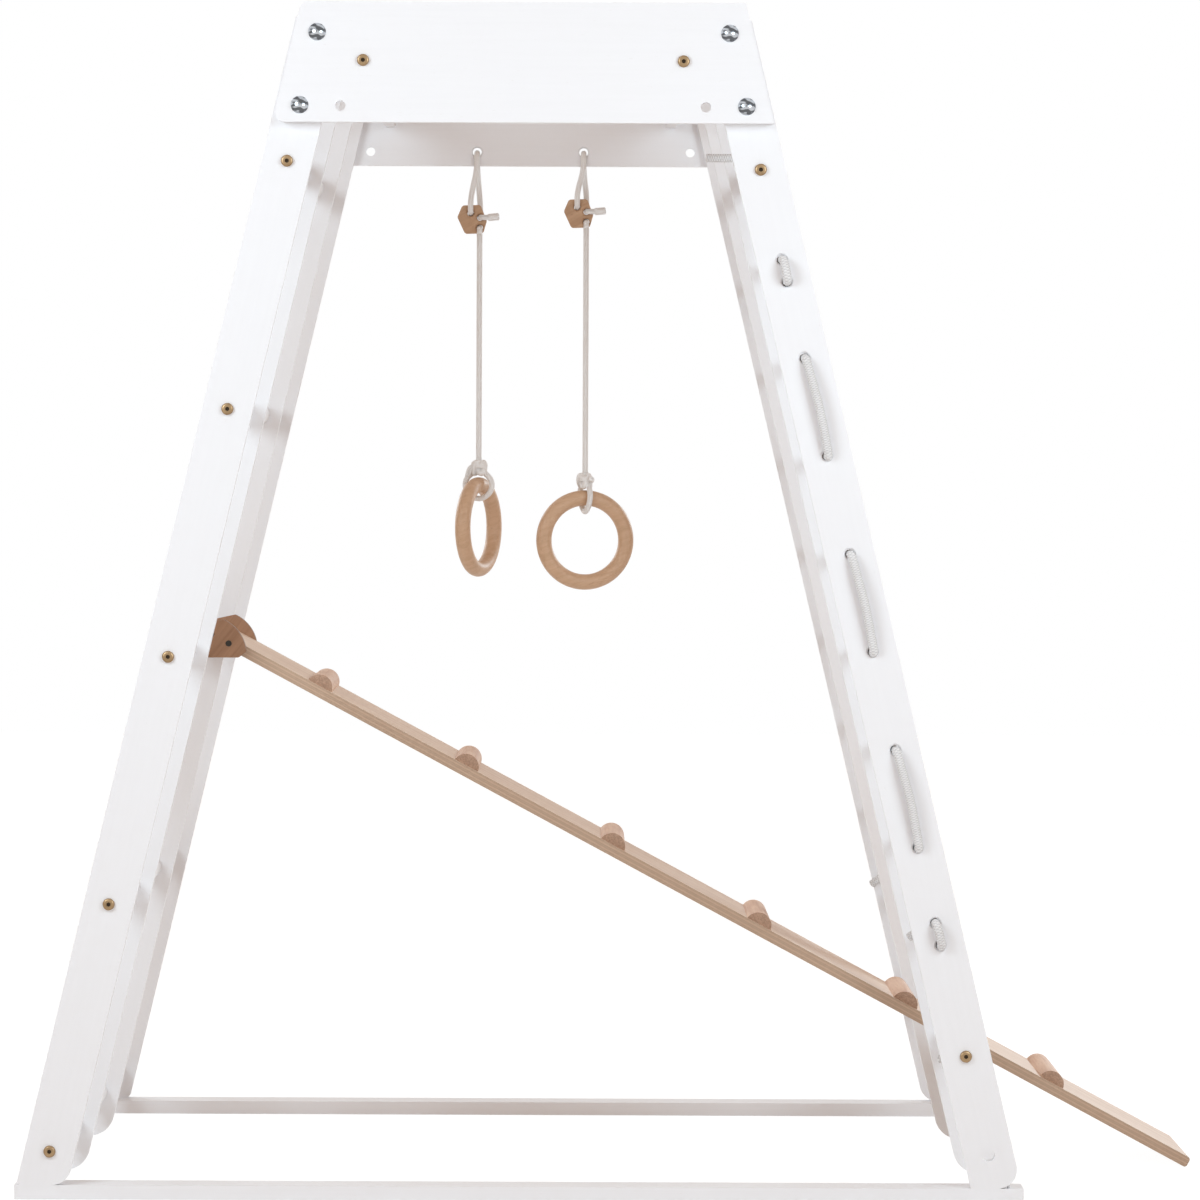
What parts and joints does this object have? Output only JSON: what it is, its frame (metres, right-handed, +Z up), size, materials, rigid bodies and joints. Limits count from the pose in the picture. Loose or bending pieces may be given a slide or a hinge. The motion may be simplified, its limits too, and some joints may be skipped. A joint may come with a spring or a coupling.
{
  "type": "climbing frame with slide",
  "caption": "Wooden A-frame climbing frame with rung ladder, rope nets, hanging rings and a cleated ramp hooked on a rung.",
  "frame": {"origin": "centre of the object's footprint, on the floor", "axes": "+Z up; +X towards the ramp's lower end; +Y from the near A-frame to the far one"},
  "size_m": [1.5152, 1.2587, 1.5],
  "materials": {
    "white_wood": "smooth boards painted a cool white, satin",
    "beech": "natural beech with a thin clear coat",
    "plywood": "plywood, layers showing on the edge",
    "white_rope": "braided white rope",
    "ring_rope": "thin braided white rope",
    "chrome": "polished domed bolt heads",
    "brass": "antique brass",
    "steel": "zinc plated"
  },
  "bodies": {
    "frame": {"base_screws": "steel", "crossbar_screws": "brass", "far_base_rail": "white_wood", "far_left_leg": "white_wood", "far_net_rows": "white_rope", "far_net_uprights": "white_rope", "far_panel": "white_wood", "far_panel_bolts": "chrome", "far_panel_nuts": "chrome", "far_right_leg": "white_wood", "left_crossbar": "white_wood", "left_far_rail": "white_wood", "left_near_rail": "white_wood", "left_ring_block": "beech", "left_ring_hanger": "ring_rope", "left_rung_1": "beech", "left_rung_2": "beech", "left_rung_3": "beech", "left_rung_4": "beech", "left_rung_5": "beech", "left_rung_screws": "brass", "near_base_rail": "white_wood", "near_left_leg": "white_wood", "near_net_rows": "white_rope", "near_net_uprights": "white_rope", "near_panel": "white_wood", "near_panel_bolts": "chrome", "near_panel_nuts": "chrome", "near_right_leg": "white_wood", "right_crossbar": "white_wood", "right_far_rail": "white_wood", "right_far_rung": "beech", "right_near_rail": "white_wood", "right_near_rung": "beech", "right_ring_block": "beech", "right_ring_hanger": "ring_rope", "right_rung_screws": "brass", "right_top_rung": "beech"},
    "ramp": {"ramp_board": "beech", "near_cheek": "plywood", "far_cheek": "plywood", "cleat_screws": "steel", "cheek_screws": "steel", "cleat_1": "beech", "cleat_2": "beech", "cleat_3": "beech", "cleat_4": "beech", "cleat_5": "beech", "cleat_6": "beech"},
    "left_rope": {"left_ring_rope": "ring_rope"},
    "right_rope": {"right_ring_rope": "ring_rope"},
    "left_ring_body": {"left_ring_knot": "ring_rope", "left_ring": "beech"},
    "right_ring_body": {"right_ring_knot": "ring_rope", "right_ring": "beech"}
  },
  "joints": [
    {"name": "ramp_lift", "type": "hinge", "parent": "frame", "child": "ramp", "pos_m": [-0.56661, 0, 0.68117], "axis": [0, -1, 0], "range_deg": [0, 55]},
    {"name": "left_ring_swing", "type": "hinge", "parent": "frame", "child": "left_rope", "pos_m": [-0.19663, 0.5817, 1.2494], "axis": [1, 0, 0], "range_deg": [-35, 35]},
    {"name": "left_ring_spin", "type": "hinge", "parent": "left_rope", "child": "left_ring_body", "pos_m": [-0.19663, 0.5817, 0.9303], "axis": [0, 0, 1], "range_deg": [-90, 90]},
    {"name": "right_ring_swing", "type": "hinge", "parent": "frame", "child": "right_rope", "pos_m": [-0.04463, 0.5817, 1.2584], "axis": [1, 0, 0], "range_deg": [-35, 35]},
    {"name": "right_ring_spin", "type": "hinge", "parent": "right_rope", "child": "right_ring_body", "pos_m": [-0.04463, 0.5817, 0.9123], "axis": [0, 0, 1], "range_deg": [-90, 90]}
  ]
}
